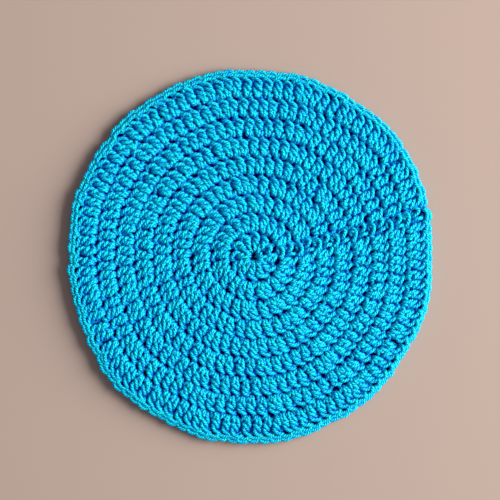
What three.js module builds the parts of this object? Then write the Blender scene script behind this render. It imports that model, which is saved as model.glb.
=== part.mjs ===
// A round crocheted coaster, one piece of cloth: nine rounds of tall stitches worked outwards from
// a small ring. It lies flat, apart from a low bulge round the ring and one side of the rim that
// curls up. Millimetres, +Z up. The origin is on the surface that it lies on, under the middle of
// its outline.

import * as THREE from "three";
import { mergeVertices } from "three/addons/utils/BufferGeometryUtils.js";

// Driving dimensions, in millimetres and degrees
const MEAN_RADIUS = 87.9;
const THICKNESS = 5;
const RING_HOLE_RADIUS = 1.2; // what the first round leaves open at the middle
const ROUNDS = 9;
const FIRST_ROUND_RADIUS = 11.8; // out to the groove where the second round starts
const ROUND_DEPTH = 8.95; // from groove to groove
const GROOVE_DEPTH = 0.9;
const RING_DIP = 0.8; // how far the cloth sinks towards the ring
const RIM_ROUNDING = 2;
const FLAT_UNDERSIDE = 0.62; // share of the radius where the underside is flat on the surface

// The outline isn't a true circle: each row adds so many swells round it, the highest at an angle
const OUTLINE_SWELLS = [
  { count: 1, height: 2.2, at: 168 }, // the ring is off the middle
  { count: 2, height: 1.1, at: 82 }, // slightly oval
  { count: 3, height: 0.4, at: 25 },
  { count: 4, height: 0.5, at: 44 },
  { count: 6, height: 0.3, at: 37 },
  { count: 8, height: 0.2, at: 32 },
  { count: 9, height: 0.2, at: 24 },
  { count: 12, height: 0.4, at: 13 }, // a corner at each line of increases
];
const JOIN = { at: 15, height: 0.5, width: 3 }; // the bump where the edge is fastened off
const LIFT = { at: 185, height: 2.2, spread: 2 }; // the side where the rim curls up
const BULGE = { height: 1.4, radius: 32 }; // how the cloth round the ring stands off the surface

// Resolution of the mesh
const SECTORS = 72;
const RIM_STEPS = 6;
const BULGE_STEPS = 5;

const YARN = new THREE.MeshStandardMaterial({
  name: "yarn",
  color: new THREE.Color(0.05, 0.6, 0.77),
  roughness: 0.5,
  metalness: 0,
});

// How far the outline lies outside the mean circle, in a direction given in degrees
function outlineSwell(direction) {
  const swells = OUTLINE_SWELLS.map(({ count, height, at }) =>
    height * Math.cos(THREE.MathUtils.degToRad(count * (direction - at))));
  const join = JOIN.height * Math.exp(-(((direction - JOIN.at) / JOIN.width) ** 2));
  return swells.reduce((sum, swell) => sum + swell, join);
}

// How far the curled side of the rim lifts off the surface
function rimLift(direction, radiusShare) {
  const towards = Math.cos(THREE.MathUtils.degToRad(direction - LIFT.at));
  const side = Math.max(0, towards) ** LIFT.spread;
  const outwards = Math.max(0, (radiusShare - FLAT_UNDERSIDE) / (1 - FLAT_UNDERSIDE));
  return LIFT.height * side * outwards ** 2;
}

// How far the bulge lifts the cloth off the surface
function bulgeLift(radius) {
  const share = Math.min(1, radius / BULGE.radius);
  return (BULGE.height * (1 + Math.cos(Math.PI * share))) / 2;
}

// Half of a section through the coaster, as a closed loop of radius and height. It runs out along
// the underside, up round the rim, and back over the rounds to the ring.
function sectionLoop() {
  const edgeRadius = MEAN_RADIUS - RIM_ROUNDING;
  const loop = [];
  for (let step = 0; step <= BULGE_STEPS; step++) {
    const radius = THREE.MathUtils.lerp(RING_HOLE_RADIUS, BULGE.radius, step / BULGE_STEPS);
    loop.push(new THREE.Vector2(radius, 0));
  }
  loop.push(
    new THREE.Vector2(MEAN_RADIUS * FLAT_UNDERSIDE, 0),
    new THREE.Vector2((MEAN_RADIUS * (1 + FLAT_UNDERSIDE)) / 2, 0),
    new THREE.Vector2(edgeRadius, 0),
  );
  for (let step = 1; step < RIM_STEPS; step++) {
    const turn = (Math.PI * step) / RIM_STEPS;
    loop.push(new THREE.Vector2(
      edgeRadius + RIM_ROUNDING * Math.sin(turn),
      (THICKNESS * (1 - Math.cos(turn))) / 2,
    ));
  }
  for (let round = ROUNDS; round >= 1; round--) {
    const inner = round === 1 ? RING_HOLE_RADIUS : grooveRadius(round - 1);
    const outer = round === ROUNDS ? edgeRadius : grooveRadius(round);
    const dip = round === 1 ? RING_DIP : GROOVE_DEPTH;
    // The far side of a round, its crest near the inner groove, and that groove itself
    loop.push(
      new THREE.Vector2(THREE.MathUtils.lerp(inner, outer, 0.75), THICKNESS - GROOVE_DEPTH / 4),
      new THREE.Vector2(THREE.MathUtils.lerp(inner, outer, 0.3), THICKNESS),
      new THREE.Vector2(inner, THICKNESS - dip),
    );
  }
  loop.push(loop[0].clone());
  return loop;
}

function grooveRadius(round) {
  return FIRST_ROUND_RADIUS + ROUND_DEPTH * (round - 1);
}

// The section turned round the ring, then drawn out to the real outline and lifted where the
// cloth stands off the surface
function coasterGeometry() {
  const turned = new THREE.LatheGeometry(sectionLoop(), SECTORS);
  turned.rotateX(Math.PI / 2);
  turned.deleteAttribute("normal");
  turned.deleteAttribute("uv");
  const geometry = mergeVertices(turned, 1e-3);
  const points = geometry.getAttribute("position");
  const point = new THREE.Vector3();
  for (let i = 0; i < points.count; i++) {
    point.fromBufferAttribute(points, i);
    const angle = Math.atan2(point.y, point.x);
    const direction = (THREE.MathUtils.radToDeg(angle) + 360) % 360;
    const radius = Math.hypot(point.x, point.y);
    const share = Math.min(1, radius / MEAN_RADIUS);
    const drawn = radius + outlineSwell(direction) * share ** 2;
    points.setXYZ(
      i,
      drawn * Math.cos(angle),
      drawn * Math.sin(angle),
      point.z + rimLift(direction, share) + bulgeLift(radius),
    );
  }
  geometry.computeBoundingBox();
  const middle = geometry.boundingBox.getCenter(new THREE.Vector3());
  geometry.translate(-middle.x, -middle.y, 0);
  geometry.computeVertexNormals();
  return geometry;
}

const mat = new THREE.Mesh(coasterGeometry(), YARN);
mat.name = "mat";

const coaster = new THREE.Group();
coaster.add(mat);

export default coaster;
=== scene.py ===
# A round crocheted coaster, lying flat and seen from straight above. Its yarn is modelled as one
# continuous strand a round: every double crochet follows the path that the yarn takes in the real
# stitch. Lengths are in millimetres and angles in radians until a mesh is made, in metres.

import math

import bpy
import numpy as np
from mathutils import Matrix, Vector


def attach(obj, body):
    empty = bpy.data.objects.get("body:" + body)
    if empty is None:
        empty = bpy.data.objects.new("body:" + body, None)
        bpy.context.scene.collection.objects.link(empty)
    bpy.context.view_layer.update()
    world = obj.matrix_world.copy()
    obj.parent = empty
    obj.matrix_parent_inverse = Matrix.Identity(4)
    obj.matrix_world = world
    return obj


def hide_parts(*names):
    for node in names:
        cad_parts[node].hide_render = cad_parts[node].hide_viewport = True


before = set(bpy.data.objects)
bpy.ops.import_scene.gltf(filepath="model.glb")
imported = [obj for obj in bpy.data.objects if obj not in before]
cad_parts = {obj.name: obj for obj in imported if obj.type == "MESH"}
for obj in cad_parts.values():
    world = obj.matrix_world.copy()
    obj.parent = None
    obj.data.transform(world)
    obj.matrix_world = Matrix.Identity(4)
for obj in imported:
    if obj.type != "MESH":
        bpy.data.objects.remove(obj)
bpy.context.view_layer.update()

TAU = 2 * math.pi
MM = 0.001
rng = np.random.default_rng(9)

# The rounds
ROUNDS = 9
INCREASES = 12  # stitches that each round has more than the last one
RING_RADIUS = 1.3  # the middle ring that the first round is worked into
FIRST_GROOVE = 11.8  # radius at which the second round starts
ROUND_DEPTH = 8.95
EDGE_GAIN = 0.4  # how much deeper the last round is, which nothing pulls on
SEAM_START = math.radians(13.0)  # where the rounds are joined, at the middle and at the edge
SEAM_END = math.radians(15.0)
CROWDED_STITCHES = 2  # about how many stitches on each side of the seam crowd in towards it
CROWDING_BEFORE = 0.75  # how far the stitches before the seam do so, and those after it
CROWDING_AFTER = 0.9

# How the stitches of a round stand in the loops of the one before
PAIR_GAP = 2.3  # between two stitches in one loop
LEAN = 0.7  # how far to the side of its loop a stitch starts
INNER_LEAN = 2.4  # share of that by which the inner rounds lean the other way instead
INNER_LEAN_ROUNDS = 1.5  # in how many rounds this fades
FIRST_LEAN = 0.7  # share of the way to its post's top that a stitch of the first round starts at
RELAXED = 0.8  # share of a stitch's slant that is left once the cloth has eased

# The yarn and the stitch. In a stitch's own frame +x runs against the work, +y outwards from the
# groove where it starts, and +z up out of the cloth's face, from the middle of its thickness.
YARN_RADIUS = 0.94
PLIES = 3
TWIST_LENGTH = 3.9  # along the yarn for one full turn of its plies
STITCH_WIDTH = 4.6
STITCH_HEIGHT = 9.0
POST_TOP = -1.9  # x at which the post ends, to the side of the loop above it
HEAD = (5, 8)  # y over which the post widens into its head
TOP = (8.6, 9.6)  # y over which the head gives way to the loop on top
SPREAD = 1.65  # how far the strands' centre lines lie from the middle of the thickness
HALF_THICKNESS = SPREAD + YARN_RADIUS

# How the stitch changes where it lies in the mat
SLANT = (0.05, 0.9)  # shares of its height between which it slants from its base to its top
BASE_WIDTH = 0.92  # share of its width that is left at its base, in the outer rounds
BASE_SQUEEZE = 0.6  # how much less that is near the ring
FIRST_BASE_TURN = 0.8  # share of its angle round the mat that is left at its base, in the first round
THINNED = 0.5  # share of the yarn's thickness that is left at the ring, where it is pulled tight
THINNED_REACH = 6
FIRST_ROUND_FULLNESS = 1.1  # how thick the yarn gets in the first round, which is looser
GROOVE_DIP = 0.6  # how far the head sinks beside the groove behind it
GROOVE_DIP_AT = 8.6
GROOVE_DIP_WIDTH = 0.8
HEAD_SHIFT = 0.2  # how far the head draws back from that groove
LOOP_DIP = 0.5  # how far the front of the top loop is pulled down by the round worked into it
LOOP_DIP_FROM = (9.0, 10.0)

# The edge: the top loops of the last round, which nothing is worked into
EDGE_TURNED_AT = 330  # degrees: the middle of the stretch where they are turned outwards
EDGE_TURNED_WIDTH = 40
EDGE_OPENNESS = (0.95, 0.15)  # away from that stretch, and in the middle of it
BACK_LEG_OUT = (1.0, 0.9)  # how far a loop's back leg moves out if it is turned, and if it lies flat
FRONT_LEG_IN = (0.3, 0.9)  # how far its front leg moves in, likewise
FRONT_LEG = (-0.5, 0.3)  # z over which a loop's yarn passes from the back leg to the front leg
LEG_HEIGHTS = (0.6, 0.9)  # of the back leg and of the front leg, if they lie flat
LEGS_LEVELLED = 0.85  # share of the way that they come to those heights
EDGE_HEADS_OUT = 0.6  # how far the heads under them move out
EDGE_BARENESS = 0.7  # how much of the painted light of the cloth's face they keep all round

# How uneven the handwork is, as standard deviations
STITCH_SHIFT = (0.27, 0.3)  # of a stitch, outwards and round the mat
YARN_WANDER = (0.2, 0.2, 0.15)  # of the yarn, in x, y and z
WANDER_LENGTH = 3
YARN_SLUB = 0.05  # of the yarn's thickness, as a share of it
SLUB_LENGTH = 5

# How much of the yarn's painted light and shade comes from how far out in the cloth it lies (painted
# shade deeper in), and not from how far it faces up or down (painted shade on its flanks)
OUTNESS_WEIGHT = 0.6

# Resolution
PATH_POINTS = 140  # along one stitch while it settles
PATH_DETAIL = 3  # times as many once it has settled
RINGS_PER_STITCH = 96
SIDES = 8
BEND_WEIGHT = 0.8  # millimetres of straight yarn that get as many rings as a bend of one radian
GROUND_RINGS = 60
GROUND_SECTORS = 180

# A near-black sheet inside the cloth, which paints shade into the gaps between its strands
GROUND_HEIGHT = -0.5
GROUND_THICKNESS = 0.3
GROUND_INSET = 0.6  # how far it reaches into the ring, and under the loops of the edge
GROUND_OUTSET = 2.3

# The square that the yarn's surface is laid out on, in rows
BAKE_MARGIN = 0.002
BAKE_SHARE = 0.99
ROW_GAP = 4  # millimetres of yarn left free at the end of a row
ROW_FILL = 0.88  # share of a row's height that the yarn takes up
CAP_CORNER = 0.998  # where the yarn's two ends lie, and how big they are
CAP_RADIUS = 0.001

# The picture
FIELD = 235 * MM  # what it takes in, side to side, at the mat
CAMERA_HEIGHT = 0.8
CAMERA_OVER = (-0.2 * MM, 3.1 * MM)
SENSOR = 36

# The path of the yarn through one double crochet: x, y, z
YARN_OVER = [
    (STITCH_WIDTH + POST_TOP, 8.3, 0.2),
    (2.0, 7.8, -0.3), (1.3, 7.3, -1.2), (0.2, 7.0, -1.9), (-1.4, 7.0, -1.6),
    (-2.3, 6.8, 0.0), (-1.8, 6.1, 1.3), (-0.5, 5.1, 2.0), (0.7, 4.3, 1.8),
    (1.4, 3.6, 0.3), (1.3, 2.8, -1.5), (0.7, 1.8, -2.0),
]
PULLED_UP_LOOP = [
    (0.5, 0.9, -1.8), (0.3, 0.4, -0.6), (0.2, 0.9, 0.9), (0.25, 1.8, 1.8),
    (0.2, 2.6, 1.6), (-0.2, 3.3, 0.3), (-0.8, 4.0, -1.4), (-1.7, 4.9, -1.7),
    (-2.6, 5.3, -0.2), (-2.3, 4.8, 1.3), (-1.7, 3.6, 2.0), (-1.2, 2.6, 2.0),
    (-1.1, 1.8, 1.8), (-1.1, 0.9, 0.9), (-1.0, 0.4, -0.6), (-0.9, 0.9, -1.8),
    (-1.0, 1.6, -2.0), (-1.5, 2.4, -1.7), (-1.8, 3.1, -0.9),
]
SECOND_LOOP = [
    (-0.9, 3.8, -0.4), (0.2, 4.9, 0.5), (0.1, 6.0, 1.2), (-0.6, 7.0, 1.0),
    (-1.4, 7.9, -0.7), (-2.4, 8.5, -1.4), (-3.3, 8.7, -0.2), (-2.7, 8.6, 1.1),
    (-1.5, 8.1, 2.0), (-0.2, 7.5, 1.9), (0.7, 6.7, 1.3), (0.9, 5.7, 0.5),
    (0.3, 4.6, 0.3), (-1.0, 3.5, 0.3), (-2.1, 3.1, 0.0),
]
TOP_LOOP = [
    (-3.0, 3.8, -0.2), (-3.2, 5.2, -0.2), (-3.0, 6.6, -0.2), (-2.5, 7.8, -0.4),
    (POST_TOP - 0.3, 9.0, -0.6), (POST_TOP - 0.5, 10.3, -0.6), (POST_TOP - 1.2, 11.1, -0.9),
    (POST_TOP - 2.5, 11.2, -1.0), (POST_TOP - 4.2, 10.7, -1.2), (POST_TOP - 5.9, 10.2, -0.7),
    (POST_TOP - 6.1, 9.6, 0.4), (POST_TOP - 5.4, 10.2, 1.4), (POST_TOP - 4.6, 11.0, 1.3),
    (POST_TOP - 3.5, 11.3, 0.4), (POST_TOP - 2.0, 11.1, 0.2), (POST_TOP - 0.6, 10.6, 0.2),
    (POST_TOP + 0.1, 9.4, 0.2),
]
DOUBLE_CROCHET = YARN_OVER + PULLED_UP_LOOP + SECOND_LOOP + TOP_LOOP

# The chain that starts a round, up to the loop on top of it: x, y, z
CHAIN_SHARE = 0.65  # of a stitch's width, which the chain takes up beyond that of a stitch
CHAIN_COLUMN = [
    (3.9, -0.2, 0.6), (3.7, 0.9, 1.2), (2.4, 1.9, 1.7), (0.9, 2.3, 1.8), (-0.8, 2.0, 1.6),
    (-2.1, 1.0, 0.9), (-1.6, 0.1, 0.2), (0.0, -0.3, 0.6), (1.4, 0.3, 0.5), (2.6, 1.6, -0.8),
    (3.4, 3.0, -0.6),
    (3.0, 4.0, 0.2), (2.6, 5.0, 1.2), (2.5, 6.2, 1.6), (2.7, 7.4, 1.2), (1.9, 8.3, 0.0),
    (0.6, 8.0, -1.2), (0.4, 6.4, -1.6), (1.0, 4.6, -1.5), (1.1, 4.0, -0.2), (1.0, 5.0, 0.9),
    (0.2, 6.2, 1.5), (-0.9, 6.9, 1.6), (-2.1, 6.4, 1.3), (-2.7, 5.2, 0.4), (-2.0, 3.6, -0.1),
    (-0.6, 3.4, 0.0), (-0.4, 4.8, -0.1), (-0.9, 6.6, -0.1), (-1.4, 8.0, 0.3),
]

# How the path is let settle into a real stitch, with its neighbours round it
CONTACT = 1.2  # how near two strands may come
SEARCH_MARGIN = 0.7  # how much farther apart they are when they are first looked for
LEAST_ALONG = 2.4  # points nearer than this along the yarn don't push each other
SETTLE_STEPS = 400
SEARCH_EVERY = 6
CURVE_STEPS = 16  # along the curve between two listed points
PUSH = 0.45  # how strongly strands that overlap push each other apart in a step
PULL = 0.12  # how strongly the yarn pulls itself straight
STIFFNESS = 0.2  # how strongly it evens out its bends
HOLD = 0.03  # how strongly it keeps to its place in the stitch
PRESS = 0.35  # how strongly it is pressed into the thickness of the cloth
LOOSENESS = 0.7  # how much thicker than at the end the stitch may be at the start, as a share
LOOSE_SHARE = 0.5  # share of the steps over which that goes
TOP_LOOP_FROM = 0.72  # share of the stitch's path after which its top loop may start
CHAIN_CURVE_STEPS = 10


def smoothstep(low, high, value):
    """0 up to low and 1 from high on, with a smooth rise between them."""
    share = np.clip((value - low) / (high - low), 0, 1)
    return share * share * (3 - 2 * share)


def between(first, second, share):
    return first + (second - first) * share


def loop_share(y):
    """0 in a stitch's post and head, and 1 in the loop on top of it."""
    return smoothstep(*TOP, y)


def head_share(y):
    """1 in a stitch's head, and 0 in its post and in the loop on top."""
    return smoothstep(*HEAD, y) * (1 - loop_share(y))


def smooth_curve(points, before, after, steps):
    """Catmull-Rom curve through points, with the two points before it and the two after it."""
    p = np.vstack([before, points, after])
    t = np.linspace(0, 1, steps, endpoint=False)[:, None]
    pieces = []
    for i in range(2, len(p) - 2):
        a, b, c, d = p[i - 1], p[i], p[i + 1], p[i + 2]
        pieces.append(b + 0.5 * ((c - a) * t + (2 * a - 5 * b + 4 * c - d) * t**2
                                 + (3 * b - a - 3 * c + d) * t**3))
    return np.vstack(pieces)


def even_points(points, end, count):
    """count points evenly spaced along a polyline that goes on to end, and its length."""
    line = np.vstack([points, end])
    steps = np.linalg.norm(np.diff(line, axis=0), axis=1)
    along = np.concatenate([[0], np.cumsum(steps)])
    wanted = np.linspace(0, along[-1], count, endpoint=False)
    return np.stack([np.interp(wanted, along, line[:, k]) for k in range(3)], 1), along[-1]


def near_pairs(points, length, images):
    """Pairs of points of a stitch and of its neighbours' images that could touch."""
    count = len(points)
    index = np.arange(count)
    first, second, shifts = [], [], []
    for column, row in images:
        shift = np.array([-column * STITCH_WIDTH, row * STITCH_HEIGHT, 0.0])
        apart = np.linalg.norm(points[:, None] - points[None] - shift, axis=2)
        near = apart < CONTACT + SEARCH_MARGIN
        if row == 0:
            steps = np.abs(index[None, :] + column * count - index[:, None])
            near &= steps * length / count > LEAST_ALONG
        a, b = np.nonzero(near)
        first.append(a)
        second.append(b)
        shifts.append(np.repeat(shift[None], len(a), 0))
    return np.concatenate(first), np.concatenate(second), np.concatenate(shifts)


def contact_push(points, first, second, shifts):
    """How far each point is pushed by the strands that come too near to it."""
    apart_by = points[first] - points[second] - shifts
    apart = np.linalg.norm(apart_by, axis=1) + 1e-9
    overlap = np.clip(CONTACT - apart, 0, None)
    push = np.zeros_like(points)
    np.add.at(push, first, apart_by / apart[:, None] * overlap[:, None])
    touching = np.bincount(first[overlap > 0], minlength=len(points)).clip(1)
    return PUSH * push / np.sqrt(touching)[:, None]


def settled_stitch():
    """The stitch's path once its strands push each other apart and pull themselves smooth."""
    shift = np.array([-STITCH_WIDTH, 0.0, 0.0])
    control = np.array(DOUBLE_CROCHET)
    curve = smooth_curve(control, control[-2:] - shift, control[:2] + shift, CURVE_STEPS)
    points, length = even_points(curve, curve[:1] + shift, PATH_POINTS)
    start = points.copy()
    images = [(column, row) for column in range(-2, 3) for row in (-1, 0, 1)]
    for step in range(SETTLE_STEPS):
        if step % SEARCH_EVERY == 0:
            first, second, shifts = near_pairs(points, length, images)
        points = points + contact_push(points, first, second, shifts)
        around = np.vstack([points[-2:] - shift, points, points[:2] + shift])
        pull = 0.5 * (around[:-2] + around[2:]) - around[1:-1]
        bend = pull[1:-1] - 0.5 * (pull[:-2] + pull[2:])
        points = points + PULL * pull[1:-1] + STIFFNESS * bend
        points[:, :2] += HOLD * (start - points)[:, :2]
        loose = max(0, 1 - step / (LOOSE_SHARE * SETTLE_STEPS))
        limit = SPREAD * (1 + LOOSENESS * loose)
        points[:, 2] += PRESS * (np.clip(points[:, 2], -limit, limit) - points[:, 2])
    return smooth_curve(points, points[-2:] - shift, points[:2] + shift, PATH_DETAIL)


def chain_path(stitch):
    """The chain that stands in for a round's first post, then the loop on top of a stitch."""
    at_top = (stitch[:, 1] > STITCH_HEIGHT - 0.2) & (stitch[:, 0] > POST_TOP - 1.1)
    late = np.arange(len(stitch)) > TOP_LOOP_FROM * len(stitch)
    top = stitch[int(np.argmax(at_top & late)):]
    control = np.array(CHAIN_COLUMN)
    chain = smooth_curve(control, control[:1].repeat(2, 0), top[:2], CHAIN_CURVE_STEPS)
    return np.vstack([chain, top])


class MatShape:
    """What the CAD mat says: where its ring is, how far out and how high its rim lies, and how
    far the cloth stands off the surface round the ring."""

    SECTORS = 72
    FLAT_UNDERSIDE = 0.62  # share of the radius where the underside is flat
    RING_REACH = 5  # the points nearer than this to the origin are those of the ring
    RIM_SHARE = 0.97  # share of the reach beyond which points are those of the rim

    def __init__(self, node):
        points = np.array([v.co[:] for v in node.data.vertices]) / MM
        ring = points[np.hypot(points[:, 0], points[:, 1]) < self.RING_REACH]
        self.centre = ring[:, :2].mean(0)
        offset = points[:, :2] - self.centre
        sector = np.round(np.arctan2(offset[:, 1], offset[:, 0]) / TAU * self.SECTORS)
        sector = sector.astype(int) % self.SECTORS
        radius = np.hypot(offset[:, 0], offset[:, 1])
        self.reach = np.zeros(self.SECTORS)
        np.maximum.at(self.reach, sector, radius)
        at_rim = radius > self.RIM_SHARE * self.reach[sector]
        self.rim_height = np.full(self.SECTORS, np.inf)
        np.minimum.at(self.rim_height, sector[at_rim], points[at_rim, 2])
        self.mean_radius = self.reach.mean()
        middle = (radius < self.FLAT_UNDERSIDE * self.mean_radius) & (points[:, 2] < HALF_THICKNESS)
        order = np.argsort(radius[middle])
        self.bulge_radii, self.bulge_heights = radius[middle][order], points[middle][order, 2]
        self.angles = np.arange(self.SECTORS) / self.SECTORS * TAU

    def world(self, radius, angle, height):
        """World points, in millimetres, of points given on a true circle of the mean radius."""
        share = radius / self.mean_radius
        swell = np.interp(angle % TAU, self.angles, self.reach, period=TAU) - self.mean_radius
        lift = np.interp(angle % TAU, self.angles, self.rim_height, period=TAU)
        outwards = np.clip((share - self.FLAT_UNDERSIDE) / (1 - self.FLAT_UNDERSIDE), 0, None)
        drawn = radius + swell * share**2
        bulge = np.interp(radius, self.bulge_radii, self.bulge_heights)
        return np.stack([
            self.centre[0] + drawn * np.cos(angle),
            self.centre[1] + drawn * np.sin(angle),
            height + HALF_THICKNESS + lift * outwards**2 + bulge,
        ], 1)


# Where the stitches stand

def groove(round_number):
    """Radius of the groove where a round starts; the one after the last is the edge row's."""
    if round_number == 1:
        return RING_RADIUS
    last = EDGE_GAIN if round_number > ROUNDS else 0
    return FIRST_GROOVE + ROUND_DEPTH * (round_number - 2) + last


def column_angle(round_number):
    """Angle from one stitch of a round to the next. The first round's chain takes half the room."""
    return TAU / (INCREASES * round_number + CHAIN_SHARE * min(1, round_number / 2))


def seam_angle(round_number):
    """Angle of a round's chain. The first round turns on until the pairs of stitches in its loops
    stand evenly over them."""
    straight = between(SEAM_START, SEAM_END, round_number / ROUNDS)
    return straight + (0.5 * column_angle(2) if round_number == 1 else 0)


def loop_angle(round_number, column):
    """Angle of the loop on top of a stitch, which the next round is worked into. The stitches on
    both sides of the seam crowd in towards the chain, which is column 0."""
    crowding = 0
    if column > 0:
        before = INCREASES * round_number - column
        crowding = (CROWDING_BEFORE * math.exp(-before / CROWDED_STITCHES)
                    - CROWDING_AFTER * math.exp(-column / CROWDED_STITCHES))
    along = column * column_angle(round_number) + crowding / groove(round_number + 1)
    return seam_angle(round_number) + along


def base_angle(round_number, column):
    """Angle at which a stitch starts. The last loop of each wedge of a round takes two stitches."""
    if round_number == 1:
        return loop_angle(1, column) - FIRST_LEAN * POST_TOP * column_angle(1) / STITCH_WIDTH
    wedge, place = divmod(column, round_number)
    shared = place >= round_number - 2
    loop = wedge * (round_number - 1) + min(place, round_number - 2)
    side = (place - (round_number - 1.5)) if shared else 0
    lean = LEAN * (1 - INNER_LEAN * math.exp(-(round_number - 1) / INNER_LEAN_ROUNDS))
    return loop_angle(round_number - 1, loop) + (side * PAIR_GAP - lean) / groove(round_number)


# How a stitch lies there

def edge_openness(angle):
    """How flat the loops of the edge lie: 1 faces up, 0 is turned outwards."""
    away = (np.degrees(angle) - EDGE_TURNED_AT + 180) % 360 - 180
    return between(*EDGE_OPENNESS, np.exp(-((away / EDGE_TURNED_WIDTH) ** 2)))


def open_edge(points, opened):
    """A stitch of the last round, whose top loop spreads flat as far as it is opened."""
    x, y, z = points.T
    loops = loop_share(y)
    front = smoothstep(*FRONT_LEG, z)
    outwards = (1 - front) * between(*BACK_LEG_OUT, opened) - front * between(*FRONT_LEG_IN, opened)
    rise = (between(*LEG_HEIGHTS, front) - z) * opened * LEGS_LEVELLED
    return np.stack([x, y + loops * outwards + EDGE_HEADS_OUT * head_share(y), z + loops * rise], 1)


def stitch_turn(round_number, rise):
    """Angle round the mat for each millimetre of x, where a stitch has risen so far to its top."""
    top_turn = column_angle(round_number) / STITCH_WIDTH
    base_turn = FIRST_BASE_TURN * top_turn
    if round_number > 1:
        base_width = BASE_WIDTH - BASE_SQUEEZE / round_number**2
        base_turn = max(top_turn, base_width / groove(round_number))
    return between(base_turn, top_turn, rise)


def yarn_thickness(radius, round_number):
    """How thick the yarn is at a distance from the ring, as a share."""
    share = between(THINNED, 1, (radius - RING_RADIUS) / THINNED_REACH)
    return np.clip(share, THINNED, FIRST_ROUND_FULLNESS if round_number == 1 else 1)


def place_stitch(path, shape, round_number, column):
    """A stitch's path where it lies in the mat, and three traits of the yarn along it: how thick
    it is, its height over the middle of the cloth, and how far it lies bare at the edge, which
    paints light on it there."""
    inner, outer = groove(round_number), groove(round_number + 1)
    top = loop_angle(round_number, column)
    base = between(top, base_angle(round_number, column), RELAXED)
    bareness = np.zeros(len(path))
    if round_number == ROUNDS:
        # the loops of the edge get painted light, as bright as the cloth's faces by this share
        bareness = EDGE_BARENESS * loop_share(path[:, 1])
        path = open_edge(path, edge_openness(top))
    x, y, z = path.T
    share = y / STITCH_HEIGHT
    radius = between(inner, outer, share)
    rise = smoothstep(*SLANT, share)
    angle = between(base, top, rise) - x * stitch_turn(round_number, rise)
    thickness = yarn_thickness(radius, round_number)
    z = z - GROOVE_DIP * np.exp(-(((y - GROOVE_DIP_AT) / GROOVE_DIP_WIDTH) ** 2))
    if round_number < ROUNDS:
        z = z - LOOP_DIP * smoothstep(*LOOP_DIP_FROM, y) * smoothstep(0, 1, z)
        radius = radius - HEAD_SHIFT * head_share(y)
    outwards, sideways = rng.normal(0, 1, 2) * STITCH_SHIFT
    world = shape.world(radius + outwards, angle + sideways / outer, z)
    return world, np.stack([thickness, z, bareness], 1)


def round_path(round_number, stitch, chain, shape):
    """The yarn of one round, from its chain to its last stitch, and its traits."""
    placed = [place_stitch(chain, shape, round_number, 0)]
    for column in range(1, INCREASES * round_number):
        placed.append(place_stitch(stitch, shape, round_number, column))
    return np.vstack([points for points, _ in placed]), np.vstack([traits for _, traits in placed])


# The yarn as a mesh

def soft_noise(length, spacing, amplitude):
    """Smooth random wandering along a strand, in millimetres, as a function of the way along it."""
    knots = rng.normal(0, amplitude, int(length / spacing) + 3)

    def value(along):
        place = along / spacing
        low = np.floor(place).astype(int)
        return between(knots[low], knots[low + 1], smoothstep(0, 1, place - low))

    return value


def ring_places(points, count):
    """Places along a path for rings, closer together where it bends, and those of its points."""
    steps = np.linalg.norm(np.diff(points, axis=0), axis=1)
    along = np.concatenate([[0], np.cumsum(steps)])
    direction = np.diff(points, axis=0) / np.maximum(steps, 1e-9)[:, None]
    turning = np.arccos(np.clip((direction[1:] * direction[:-1]).sum(1), -1, 1))
    weight = steps.copy()
    weight[1:] += BEND_WEIGHT * turning
    weights = np.concatenate([[0], np.cumsum(weight)])
    return np.interp(np.linspace(0, weights[-1], count), weights, along), along


def side_vectors(tangents):
    """For each tangent a unit vector square to it, turning as little as possible along the path."""
    side = np.cross(tangents[0], (0.3, 0.5, 0.8))  # any direction that isn't along the yarn
    sides = []
    for tangent in tangents:
        side = side - tangent * float(side @ tangent)
        side = side / math.sqrt(float(side @ side))
        sides.append(side)
    return np.array(sides)


def ring_directions(centre):
    """Unit vectors from the yarn's centre line to its surface, SIDES of them round each ring."""
    tangent = np.gradient(centre, axis=0)
    tangent /= np.linalg.norm(tangent, axis=1)[:, None]
    side = side_vectors(tangent)
    other = np.cross(tangent, side)
    turn = np.arange(SIDES) / SIDES * TAU
    return np.cos(turn)[None, :, None] * side[:, None] + np.sin(turn)[None, :, None] * other[:, None]


def tube_mesh(name, vertices):
    """A closed tube through rings of vertices, in millimetres."""
    rings = len(vertices)
    low = np.arange(rings - 1)[:, None] * SIDES
    this, following = np.arange(SIDES)[None], (np.arange(SIDES)[None] + 1) % SIDES
    quads = np.stack([low + this, low + following, low + SIDES + following, low + SIDES + this], -1)
    caps = [list(range(SIDES))[::-1], [(rings - 1) * SIDES + k for k in range(SIDES)]]
    mesh = bpy.data.meshes.new(name)
    mesh.from_pydata((vertices.reshape(-1, 3) * MM).tolist(), [], quads.reshape(-1, 4).tolist() + caps)
    mesh.polygons.foreach_set("use_smooth", [True] * len(mesh.polygons))
    return mesh


def strand(name, points, traits, rings):
    """A yarn as a closed tube round a path. Its UV map "yarn" runs in centimetres along the yarn and
    from 0 to 1 round it, and "OFBake" lays the same strip out in rows on a square. Its attribute of
    painted light and shade says how near the outside of the cloth its surface lies and how far it
    faces up or down, and paints the bare edge light."""
    places, along = ring_places(points, rings)
    centre = np.stack([np.interp(places, along, points[:, k]) for k in range(3)], 1)
    thickness, height, bareness = [np.interp(places, along, trait) for trait in traits.T]
    slub = soft_noise(along[-1], SLUB_LENGTH, YARN_SLUB)(places)
    radius = YARN_RADIUS * thickness * (1 + slub)
    for axis, amplitude in enumerate(YARN_WANDER):
        wander = soft_noise(along[-1], WANDER_LENGTH, amplitude)(places)
        centre[:, axis] += wander * (1 - bareness)
    centre[:, 2] = np.maximum(centre[:, 2], radius)
    directions = ring_directions(centre)
    mesh = tube_mesh(name, centre[:, None] + radius[:, None, None] * directions)
    add_painted_light(mesh, height, radius, bareness, directions)
    add_uv_maps(mesh, places)
    mesh.validate()
    piece = bpy.data.objects.new(name, mesh)
    bpy.context.scene.collection.objects.link(piece)
    return piece


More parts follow.
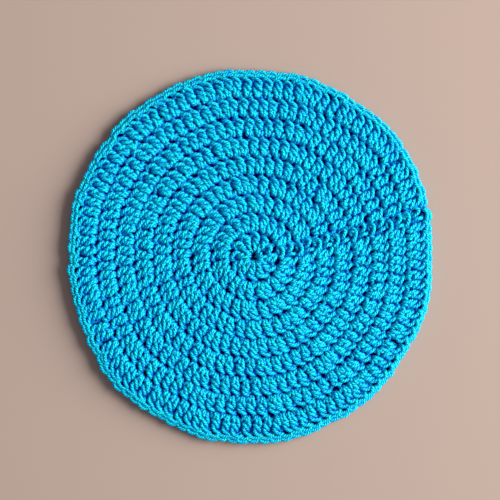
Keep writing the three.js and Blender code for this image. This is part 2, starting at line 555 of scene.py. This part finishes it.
def add_painted_light(mesh, height, radius, bareness, directions):
    """The attribute of painted light and shade of a yarn, from 0 (painted shade) in the middle of the
    cloth and on its flanks to 1 (painted light) on its faces and at the bare edge.
    """
    up = directions[:, :, 2]
    bare = bareness[:, None]
    outness = np.maximum(np.abs(height[:, None] + radius[:, None] * up) / HALF_THICKNESS, bare)
    facing = np.maximum(np.abs(up), bare)
    painted_light = between(facing, outness, OUTNESS_WEIGHT)
    mesh.attributes.new("painted_light", "FLOAT", "POINT").data.foreach_set("value", painted_light.ravel())


def add_uv_maps(mesh, places):
    """The two UV maps of a yarn whose rings lie at these places along it."""
    along = np.stack([places[:-1], places[:-1], places[1:], places[1:]], 1)
    along = np.repeat(along[:, None], SIDES, 1).reshape(-1, 4)
    around = np.array([[k, k + 1, k + 1, k] for k in range(SIDES)]) / SIDES
    around = np.repeat(around[None], len(places) - 1, 0).reshape(-1, 4)
    add_uv(mesh, "yarn", along / 10, around)
    add_uv(mesh, "OFBake", *strip_rows(along, around, TAU * YARN_RADIUS))


def strip_rows(along, around, girth):
    """A long strip cut into rows that fill a square, as UV coordinates."""
    length = along.max()
    rows = max(1, math.ceil(math.sqrt(length / girth)))
    row_length = length / rows
    row = np.minimum((along[:, :1] / row_length).astype(int), rows - 1)
    u = (along - row * row_length) / (row_length + ROW_GAP)
    v = (row + (1 - ROW_FILL) / 2 + ROW_FILL * around) / rows
    return BAKE_MARGIN + BAKE_SHARE * u, BAKE_MARGIN + BAKE_SHARE * v


def add_uv(mesh, name, u, v):
    """A UV map for the sides of a tube. The two ends, inside the cloth, get a small corner of it."""
    layer = mesh.uv_layers.new(name=name)
    cap_turn = np.arange(2 * SIDES) / SIDES * TAU
    cap_u = CAP_CORNER + CAP_RADIUS * np.cos(cap_turn)
    cap_v = CAP_CORNER + CAP_RADIUS * np.sin(cap_turn)
    values = np.stack([np.concatenate([u.ravel(), cap_u]), np.concatenate([v.ravel(), cap_v])], 1)
    layer.data.foreach_set("uv", values.astype(np.float32).ravel())


# Materials

class Surface:
    """A material while it is built, with short ways to add and link the nodes that it needs. What
    goes into an input is a value, or the output that it is linked from."""

    def __init__(self, name, inputs):
        self.material = bpy.data.materials.new(name)
        self.material.use_nodes = True
        self.nodes = self.material.node_tree.nodes
        self.shader = self.nodes["Principled BSDF"]
        self.connect(self.shader, inputs)

    def connect(self, node, inputs):
        for name, value in inputs.items():
            if isinstance(value, bpy.types.NodeSocket):
                self.material.node_tree.links.new(value, node.inputs[name])
            else:
                node.inputs[name].default_value = value

    def node(self, kind, inputs=None, **settings):
        node = self.nodes.new(kind)
        for name, value in settings.items():
            setattr(node, name, value)
        self.connect(node, inputs or {})
        return node

    def math(self, operation, *values):
        return self.node("ShaderNodeMath", dict(enumerate(values)), operation=operation).outputs[0]

    def noise(self, scale, detail):
        place = self.node("ShaderNodeTexCoord").outputs["Object"]
        inputs = {"Vector": place, "Scale": scale, "Detail": detail}
        return self.node("ShaderNodeTexNoise", inputs).outputs[0]

    def ramp(self, value, *stops):
        """Colours for a value from 0 to 1, with two stops of a position and a colour each."""
        node = self.node("ShaderNodeValToRGB", {0: value})
        for element, (position, color) in zip(node.color_ramp.elements, stops):
            element.position = position
            element.color = (*color, 1)
        return node.outputs[0]

    def multiply(self, first, second):
        inputs = {"Factor": 1, "A": first, "B": second}
        mix = self.node("ShaderNodeMix", inputs, data_type="RGBA", blend_type="MULTIPLY")
        return mix.outputs["Result"]

    def bump(self, height, distance):
        return self.node("ShaderNodeBump", {"Height": height, "Distance": distance}).outputs[0]


def ply_height(cotton):
    """How far the twisted plies stand out: 0 between two plies, 1 along the middle of one."""
    uv = cotton.node("ShaderNodeUVMap", uv_map="yarn").outputs[0]
    along, around = cotton.node("ShaderNodeSeparateXYZ", {0: uv}).outputs[:2]
    turns = cotton.math("MULTIPLY", along, 10 / TWIST_LENGTH)
    phase = cotton.math("ADD", turns, around)
    wave = cotton.math("SINE", cotton.math("MULTIPLY", phase, PLIES * math.pi))
    return cotton.math("POWER", cotton.math("ABSOLUTE", wave), 0.8)


def yarn_material():
    """Smooth plied cotton with fine fibres. Its colour has painted light on both faces of the cloth,
    at its edge and where the yarn faces up or down, and painted shade of a deeper blue between the
    plies, on the flanks of the strands and towards the inside of the cloth."""
    cotton = Surface("turquoise_cotton", {
        "Roughness": 0.5,
        "Specular IOR Level": 0.12,
        "Subsurface Weight": 0.35,
        "Subsurface Radius": (0.1, 0.5, 1.0),
        "Subsurface Scale": 1.0 * MM,
        "Sheen Weight": 0.03,
        "Sheen Roughness": 0.4,
        "Sheen Tint": (0.5, 0.95, 1.0, 1),
    })
    plies = ply_height(cotton)
    fibres = cotton.math("MULTIPLY", cotton.noise(2600, 3), 0.45)
    painted_light = cotton.node("ShaderNodeAttribute", attribute_name="painted_light").outputs["Fac"]
    # painted shade: deeper blue towards the inside of the cloth and on the strands' flanks, painted
    # light of bright turquoise on its faces
    painted_depth_shade = cotton.ramp(painted_light, (0.1, (0.0, 0.1, 0.65)), (0.85, (0.0, 0.95, 0.88)))
    # painted shade: a darker blue in the grooves between the plies
    painted_ply_shade = cotton.ramp(plies, (0, (0.2, 0.34, 1.0)), (0.7, (1, 1, 1)))
    speckle = cotton.ramp(cotton.noise(1700, 1), (0.4, (0.2, 0.38, 1.0)), (0.58, (1, 1, 1)))
    cotton.connect(cotton.shader, {
        "Normal": cotton.bump(cotton.math("ADD", plies, fibres), 0.28 * MM),
        "Base Color": cotton.multiply(cotton.multiply(painted_depth_shade, painted_ply_shade), speckle),
    })
    return cotton.material


def painted_shade_material():
    """Painted shade: a near-black blue for the sheet inside the cloth, with a noise of fibres."""
    shade_surface = Surface("painted_shade_fuzz", {"Roughness": 0.9, "Specular IOR Level": 0.1})
    fibres = shade_surface.noise(900, 2)
    shade_surface.connect(shade_surface.shader, {
        # near-black colour that stands for the shade in the cloth's gaps
        "Base Color": shade_surface.ramp(fibres, (0, (0.0, 0.003, 0.04)), (1, (0.0, 0.01, 0.1))),
        "Normal": shade_surface.bump(fibres, 0.2 * MM),
    })
    return shade_surface.material


def floor_material():
    return Surface("pale_floor", {"Roughness": 0.8, "Base Color": (0.445, 0.33, 0.3, 1)}).material


# Pieces

def crocheted_rounds(shape):
    stitch = settled_stitch()
    chain = chain_path(stitch)
    material = yarn_material()
    pieces = []
    for round_number in range(1, ROUNDS + 1):
        points, traits = round_path(round_number, stitch, chain, shape)
        rings = RINGS_PER_STITCH * INCREASES * round_number
        piece = strand(f"round_{round_number}", points, traits, rings)
        piece.data.materials.append(material)
        pieces.append(piece)
    return pieces


def painted_shade_sheet(shape):
    """A thin near-black sheet inside the cloth, painted shade that closes the gaps between its
    strands.
    """
    radii = np.linspace(RING_RADIUS - GROUND_INSET, groove(ROUNDS + 1) + GROUND_OUTSET, GROUND_RINGS)
    angles = np.arange(GROUND_SECTORS) / GROUND_SECTORS * TAU
    radius, angle = [grid.ravel() for grid in np.meshgrid(radii, angles, indexing="ij")]
    points = shape.world(radius, angle, np.full(len(radius), GROUND_HEIGHT))
    faces = []
    for i in range(GROUND_RINGS - 1):
        low, high = i * GROUND_SECTORS, (i + 1) * GROUND_SECTORS
        for k in range(GROUND_SECTORS):
            following = (k + 1) % GROUND_SECTORS
            faces.append((low + k, high + k, high + following, low + following))
    mesh = bpy.data.meshes.new("shade_sheet")
    mesh.from_pydata((points * MM).tolist(), [], faces)
    mesh.polygons.foreach_set("use_smooth", [True] * len(faces))
    mesh.materials.append(painted_shade_material())
    piece = bpy.data.objects.new("shade_sheet", mesh)
    bpy.context.scene.collection.objects.link(piece)
    thick = piece.modifiers.new("thickness", "SOLIDIFY")
    thick.thickness = GROUND_THICKNESS * MM
    return piece


def floor():
    bpy.ops.mesh.primitive_plane_add(size=3, location=(0, 0, 0))
    plane = bpy.context.object
    plane.name = "floor"
    plane.data.materials.append(floor_material())


# Camera and light

def camera():
    data = bpy.data.cameras.new("camera")
    data.sensor_width = SENSOR
    data.lens = SENSOR * CAMERA_HEIGHT / FIELD
    view = bpy.data.objects.new("camera", data)
    view.location = (*CAMERA_OVER, CAMERA_HEIGHT + 2 * HALF_THICKNESS * MM)
    bpy.context.scene.collection.objects.link(view)
    bpy.context.scene.camera = view


def area_light(name, azimuth, elevation, distance, size, power):
    data = bpy.data.lights.new(name, "AREA")
    data.size = size
    data.energy = power
    data.color = (1, 1, 0.9)
    data.spread = math.radians(110)  # a softbox, which keeps its light off the floor beside it
    light = bpy.data.objects.new(name, data)
    azimuth, elevation = math.radians(azimuth), math.radians(elevation)
    towards = Vector((math.cos(elevation) * math.cos(azimuth),
                      math.cos(elevation) * math.sin(azimuth), math.sin(elevation)))
    light.location = towards * distance
    light.rotation_euler = towards.to_track_quat("Z", "Y").to_euler()
    bpy.context.scene.collection.objects.link(light)


def lighting():
    area_light("window", azimuth=7, elevation=28, distance=1.5, size=1.28, power=23)
    world = bpy.data.worlds.new("world")
    world.use_nodes = True
    background = world.node_tree.nodes["Background"]
    background.inputs["Color"].default_value = (0.95, 0.92, 0.95, 1)
    background.inputs["Strength"].default_value = 0.27
    bpy.context.scene.world = world
    bpy.context.scene.view_settings.view_transform = "Standard"


camera()
shape = MatShape(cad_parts["mat"])
rounds = crocheted_rounds(shape)
# the near-black sheet of painted shade in the cloth's gaps
shade_sheet = painted_shade_sheet(shape)
for piece in [shade_sheet, *rounds]:
    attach(piece, "root")
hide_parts("mat")
floor()
lighting()
